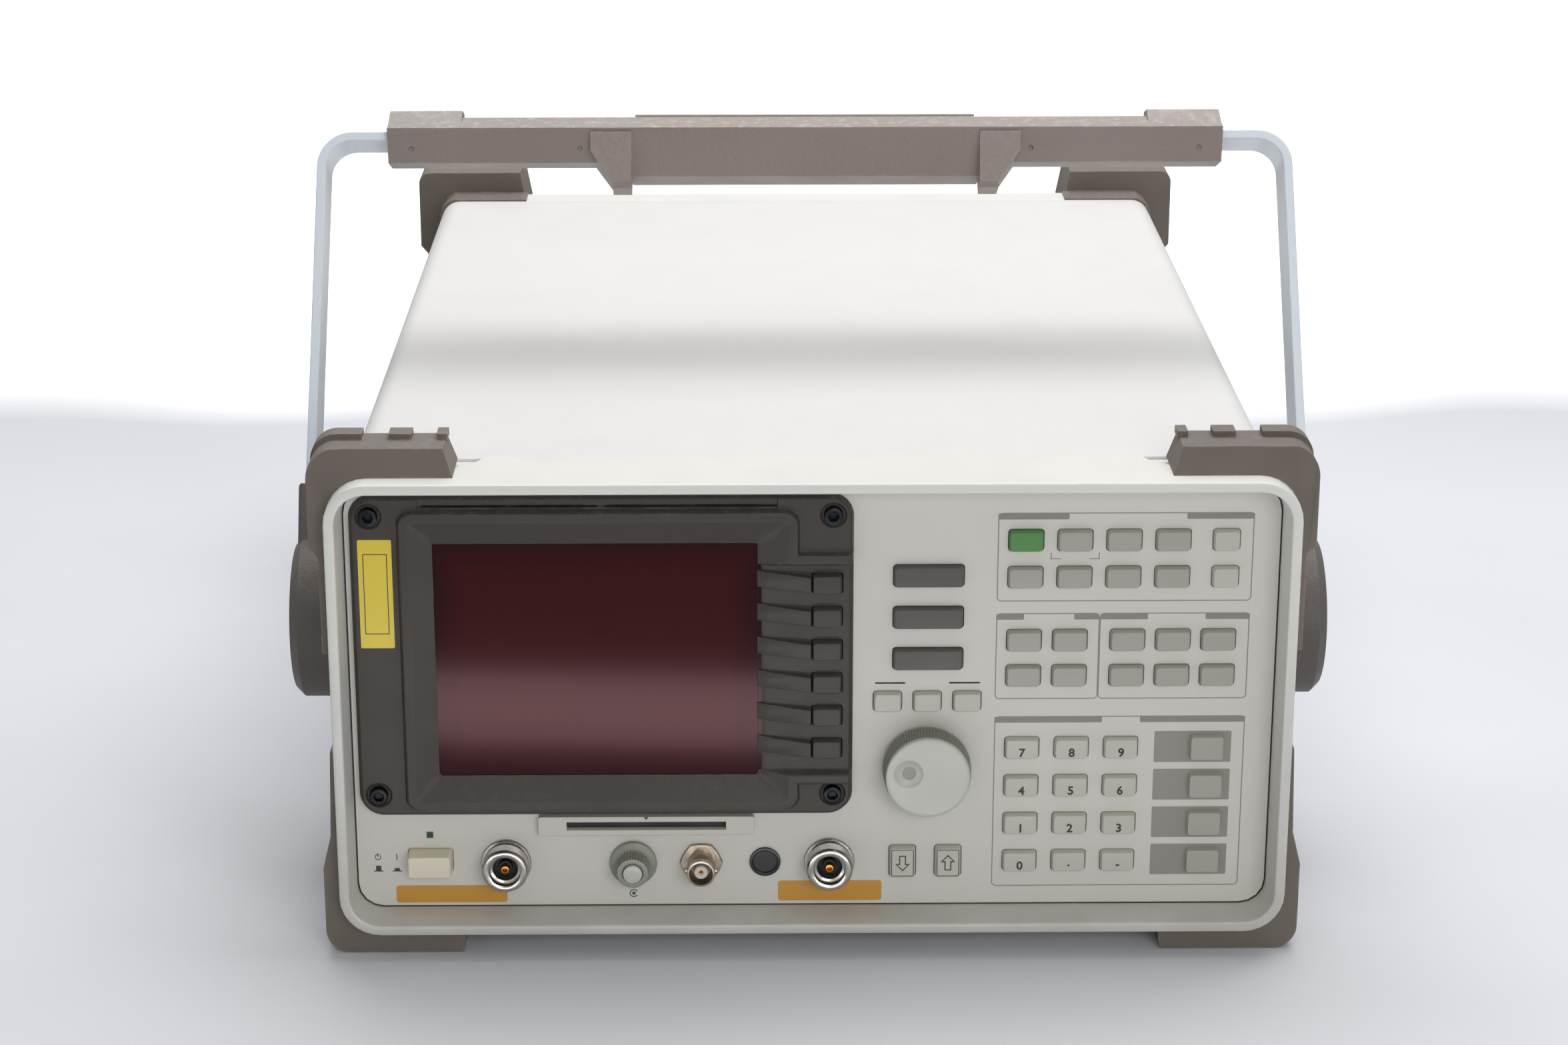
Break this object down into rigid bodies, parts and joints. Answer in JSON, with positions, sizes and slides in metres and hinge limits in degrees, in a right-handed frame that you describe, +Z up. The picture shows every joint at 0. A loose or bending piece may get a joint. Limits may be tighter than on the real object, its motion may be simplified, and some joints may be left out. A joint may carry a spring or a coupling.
{
  "type": "spectrum analyzer",
  "caption": "Portable bench spectrum analyzer with framed display, softkeys, keypad, tuning knob, front coaxial connectors, rubber corner bumpers and a swinging carrying handle.",
  "frame": {"origin": "centre of the bounding box's base, at the underside of the feet", "axes": "+X to the right seen from the front, +Y from the front panel to the rear, +Z up"},
  "size_m": [0.373, 0.461, 0.2598],
  "materials": {
    "frame_paint": "textured enamel",
    "case_paint": "fine textured enamel",
    "panel_paint": "matt silk-screened",
    "bezel_plastic": "fine grain",
    "filter_glass": "dark tinted",
    "tube_glass": "smooth",
    "screw_steel": "plated",
    "zinc_steel": "zinc plated",
    "board_laminate": "solder masked",
    "module_metal": "cast",
    "fan_plastic": "moulded",
    "connector_steel": "passivated",
    "connector_nickel": "nickel plated",
    "socket_black": "moulded",
    "slot_plastic": "moulded",
    "mat_silicone": "moulded",
    "key_mid": "satin",
    "key_light": "satin",
    "key_dark": "satin",
    "key_green": "satin",
    "key_ivory": "satin",
    "lamp_lens": "clear",
    "knob_plastic": "ribbed",
    "bumper_rubber": "fine grain",
    "cap_plastic": "coarse grain",
    "grip_plastic": "leather grain",
    "strap_paint": "smooth enamel"
  },
  "bodies": {
    "instrument": {"front_frame": "frame_paint", "front_panel": "panel_paint", "display_bezel": "bezel_plastic", "screen_filter": "filter_glass", "picture_tube": "tube_glass", "case_cover": "case_paint", "rear_frame": "frame_paint", "rear_panel": "panel_paint", "front_bumpers": "bumper_rubber", "rear_bumpers": "bumper_rubber", "bezel_screws": "screw_steel", "chassis": "zinc_steel", "circuit_boards": "board_laminate", "power_supply": "module_metal", "rf_modules": "module_metal", "fan_housing": "fan_plastic", "rf_connectors": "connector_steel", "calibrator_connector": "connector_nickel", "probe_power_socket": "socket_black", "card_slot": "slot_plastic", "keyboard_board": "board_laminate", "keypad_mat": "mat_silicone", "control_encoders": "module_metal", "line_switch": "socket_black", "line_lamp": "lamp_lens", "rear_connectors": "connector_nickel", "handle_pivots": "zinc_steel"},
    "handle": {"handle_strap": "strap_paint", "handle_grip": "grip_plastic", "handle_caps": "cap_plastic"},
    "softkey_1": {"softkey_1": "bezel_plastic"},
    "softkey_2": {"softkey_2": "bezel_plastic"},
    "softkey_3": {"softkey_3": "bezel_plastic"},
    "softkey_4": {"softkey_4": "bezel_plastic"},
    "softkey_5": {"softkey_5": "bezel_plastic"},
    "softkey_6": {"softkey_6": "bezel_plastic"},
    "line_key": {"line_key": "key_ivory"},
    "preset_key": {"preset_key": "key_green"},
    "frequency_key": {"frequency_key": "key_dark"},
    "span_key": {"span_key": "key_dark"},
    "amplitude_key": {"amplitude_key": "key_dark"},
    "window_keys": {"window_keys": "key_light"},
    "step_down_key": {"step_down_key": "key_light"},
    "step_up_key": {"step_up_key": "key_light"},
    "unit_key_1": {"unit_key_1": "key_mid"},
    "unit_key_2": {"unit_key_2": "key_mid"},
    "unit_key_3": {"unit_key_3": "key_mid"},
    "unit_key_4": {"unit_key_4": "key_mid"},
    "number_row_1": {"number_row_1": "key_light"},
    "number_row_2": {"number_row_2": "key_light"},
    "number_row_3": {"number_row_3": "key_light"},
    "number_row_4": {"number_row_4": "key_light"},
    "state_row_upper": {"state_row_upper": "key_mid"},
    "state_row_lower": {"state_row_lower": "key_mid"},
    "function_row_upper": {"function_row_upper": "key_mid"},
    "function_row_lower": {"function_row_lower": "key_mid"},
    "fan_rotor": {"fan_rotor": "fan_plastic"},
    "tuning_knob": {"tuning_knob": "knob_plastic"},
    "volume_knob": {"volume_knob": "knob_plastic"},
    "intensity_knob": {"intensity_knob": "knob_plastic"}
  },
  "joints": [
    {"name": "handle_swing", "type": "hinge", "parent": "instrument", "child": "handle", "pos_m": [0, -0.1245, 0.089], "axis": [1, 0, 0], "range_deg": [-27, 160]},
    {"name": "softkey_1_press", "type": "slide", "parent": "instrument", "child": "softkey_1", "axis": [0, 1, 0], "range_m": [0, 0.0015], "stiffness_N_per_m": 500},
    {"name": "softkey_2_press", "type": "slide", "parent": "instrument", "child": "softkey_2", "axis": [0, 1, 0], "range_m": [0, 0.0015], "stiffness_N_per_m": 500},
    {"name": "softkey_3_press", "type": "slide", "parent": "instrument", "child": "softkey_3", "axis": [0, 1, 0], "range_m": [0, 0.0015], "stiffness_N_per_m": 500},
    {"name": "softkey_4_press", "type": "slide", "parent": "instrument", "child": "softkey_4", "axis": [0, 1, 0], "range_m": [0, 0.0015], "stiffness_N_per_m": 500},
    {"name": "softkey_5_press", "type": "slide", "parent": "instrument", "child": "softkey_5", "axis": [0, 1, 0], "range_m": [0, 0.0015], "stiffness_N_per_m": 500},
    {"name": "softkey_6_press", "type": "slide", "parent": "instrument", "child": "softkey_6", "axis": [0, 1, 0], "range_m": [0, 0.0015], "stiffness_N_per_m": 500},
    {"name": "line_key_press", "type": "slide", "parent": "instrument", "child": "line_key", "axis": [0, 1, 0], "range_m": [0, 0.003], "stiffness_N_per_m": 400},
    {"name": "preset_key_press", "type": "slide", "parent": "instrument", "child": "preset_key", "axis": [0, 1, 0], "range_m": [0, 0.0015], "stiffness_N_per_m": 500},
    {"name": "frequency_key_press", "type": "slide", "parent": "instrument", "child": "frequency_key", "axis": [0, 1, 0], "range_m": [0, 0.0015], "stiffness_N_per_m": 500},
    {"name": "span_key_press", "type": "slide", "parent": "instrument", "child": "span_key", "axis": [0, 1, 0], "range_m": [0, 0.0015], "stiffness_N_per_m": 500},
    {"name": "amplitude_key_press", "type": "slide", "parent": "instrument", "child": "amplitude_key", "axis": [0, 1, 0], "range_m": [0, 0.0015], "stiffness_N_per_m": 500},
    {"name": "window_keys_press", "type": "slide", "parent": "instrument", "child": "window_keys", "axis": [0, 1, 0], "range_m": [0, 0.0015], "stiffness_N_per_m": 500},
    {"name": "step_down_key_press", "type": "slide", "parent": "instrument", "child": "step_down_key", "axis": [0, 1, 0], "range_m": [0, 0.0015], "stiffness_N_per_m": 500},
    {"name": "step_up_key_press", "type": "slide", "parent": "instrument", "child": "step_up_key", "axis": [0, 1, 0], "range_m": [0, 0.0015], "stiffness_N_per_m": 500},
    {"name": "unit_key_1_press", "type": "slide", "parent": "instrument", "child": "unit_key_1", "axis": [0, 1, 0], "range_m": [0, 0.0015], "stiffness_N_per_m": 500},
    {"name": "unit_key_2_press", "type": "slide", "parent": "instrument", "child": "unit_key_2", "axis": [0, 1, 0], "range_m": [0, 0.0015], "stiffness_N_per_m": 500},
    {"name": "unit_key_3_press", "type": "slide", "parent": "instrument", "child": "unit_key_3", "axis": [0, 1, 0], "range_m": [0, 0.0015], "stiffness_N_per_m": 500},
    {"name": "unit_key_4_press", "type": "slide", "parent": "instrument", "child": "unit_key_4", "axis": [0, 1, 0], "range_m": [0, 0.0015], "stiffness_N_per_m": 500},
    {"name": "number_row_1_press", "type": "slide", "parent": "instrument", "child": "number_row_1", "axis": [0, 1, 0], "range_m": [0, 0.0015], "stiffness_N_per_m": 500},
    {"name": "number_row_2_press", "type": "slide", "parent": "instrument", "child": "number_row_2", "axis": [0, 1, 0], "range_m": [0, 0.0015], "stiffness_N_per_m": 500},
    {"name": "number_row_3_press", "type": "slide", "parent": "instrument", "child": "number_row_3", "axis": [0, 1, 0], "range_m": [0, 0.0015], "stiffness_N_per_m": 500},
    {"name": "number_row_4_press", "type": "slide", "parent": "instrument", "child": "number_row_4", "axis": [0, 1, 0], "range_m": [0, 0.0015], "stiffness_N_per_m": 500},
    {"name": "state_row_upper_press", "type": "slide", "parent": "instrument", "child": "state_row_upper", "axis": [0, 1, 0], "range_m": [0, 0.0015], "stiffness_N_per_m": 500},
    {"name": "state_row_lower_press", "type": "slide", "parent": "instrument", "child": "state_row_lower", "axis": [0, 1, 0], "range_m": [0, 0.0015], "stiffness_N_per_m": 500},
    {"name": "function_row_upper_press", "type": "slide", "parent": "instrument", "child": "function_row_upper", "axis": [0, 1, 0], "range_m": [0, 0.0015], "stiffness_N_per_m": 500},
    {"name": "function_row_lower_press", "type": "slide", "parent": "instrument", "child": "function_row_lower", "axis": [0, 1, 0], "range_m": [0, 0.0015], "stiffness_N_per_m": 500},
    {"name": "fan_rotor_turn", "type": "hinge", "parent": "instrument", "child": "fan_rotor", "pos_m": [-0.084, 0.1695, 0.094], "axis": [0, 1, 0], "continuous": true},
    {"name": "tuning_knob_turn", "type": "hinge", "parent": "instrument", "child": "tuning_knob", "pos_m": [0.0391, -0.2245, 0.0673], "axis": [0, 1, 0], "continuous": true},
    {"name": "volume_knob_turn", "type": "hinge", "parent": "instrument", "child": "volume_knob", "pos_m": [-0.0619, -0.2245, 0.0313], "axis": [0, 1, 0], "range_deg": [-150, 150]},
    {"name": "intensity_knob_turn", "type": "hinge", "parent": "instrument", "child": "intensity_knob", "pos_m": [-0.0619, -0.2265, 0.0313], "axis": [0, 1, 0], "range_deg": [-150, 150]}
  ]
}
